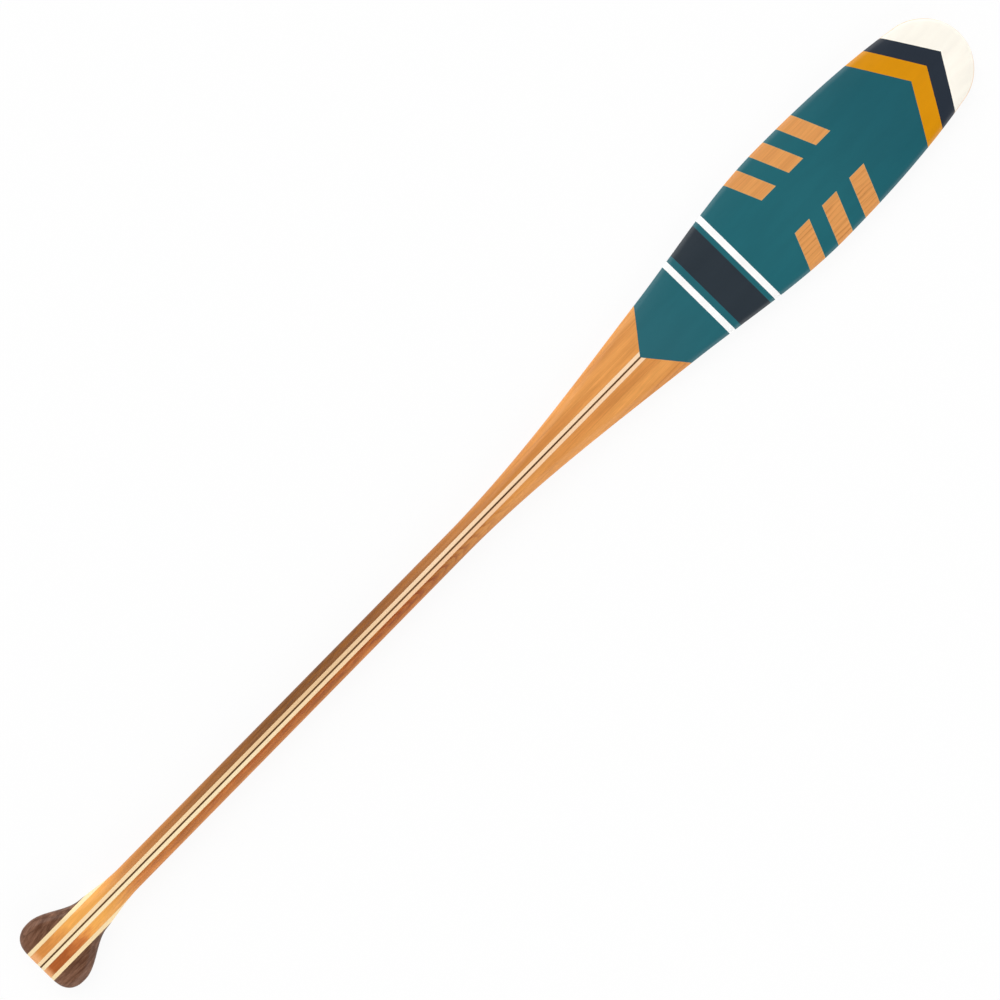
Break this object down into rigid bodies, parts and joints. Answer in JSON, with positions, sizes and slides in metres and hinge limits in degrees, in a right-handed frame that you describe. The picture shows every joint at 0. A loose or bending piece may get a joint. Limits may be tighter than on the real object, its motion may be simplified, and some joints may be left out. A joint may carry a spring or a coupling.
{
  "type": "canoe paddle",
  "caption": "One-piece canoe paddle of glued wooden strips: long rounded blade, straight shaft with flats, and flared palm grip with dark cheeks.",
  "frame": {"origin": "centre of the bounding box's bottom face: under the middle of the paddle's length, on the surface that the back of the shaft lies on", "axes": "+X from the grip to the blade's tip, +Y to the paddle's left, +Z out of the face that looks up when the paddle lies on its back"},
  "size_m": [1.448, 0.14, 0.03],
  "materials": {
    "dark_stringer": "satin varnish",
    "pale_strip": "satin varnish",
    "cedar": "satin varnish",
    "walnut": "satin varnish",
    "painted_cedar": "satin paint under varnish"
  },
  "bodies": {
    "root": {"centre_stringer": "dark_stringer", "pale_stringer_left": "pale_strip", "pale_stringer_right": "pale_strip", "shaft_lath_left": "cedar", "shaft_lath_right": "cedar", "blade_inner_plank_left": "painted_cedar", "blade_inner_plank_right": "painted_cedar", "blade_middle_plank_left": "painted_cedar", "blade_middle_plank_right": "painted_cedar", "blade_outer_plank_left": "painted_cedar", "blade_outer_plank_right": "painted_cedar", "grip_accent_strip_left": "pale_strip", "grip_accent_strip_right": "pale_strip", "grip_cheek_left": "walnut", "grip_cheek_right": "walnut"}
  },
  "joints": []
}
